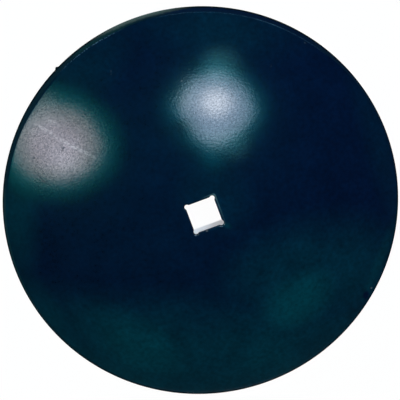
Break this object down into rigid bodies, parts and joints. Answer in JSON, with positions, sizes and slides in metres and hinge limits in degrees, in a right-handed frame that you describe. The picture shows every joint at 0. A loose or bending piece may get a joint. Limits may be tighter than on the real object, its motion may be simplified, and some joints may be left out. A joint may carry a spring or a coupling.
{
  "type": "harrow disc blade",
  "caption": "Round dished steel blade with a bevelled cutting edge and a square axle hole, for a disc harrow gang.",
  "frame": {"origin": "centre of the circle on which the cutting edge stands, with the blade lying hollow side down", "axes": "+Z along the axis that the blade turns about, from the hollow side to the domed side; the sides of the square hole run along X and Y"},
  "size_m": [0.56, 0.56, 0.0815],
  "materials": {
    "painted_steel": "glossy blue-black paint on hot-formed plate, worn bare on the edge of the axle hole"
  },
  "bodies": {
    "root": {"disc_blade": "painted_steel"}
  },
  "joints": []
}
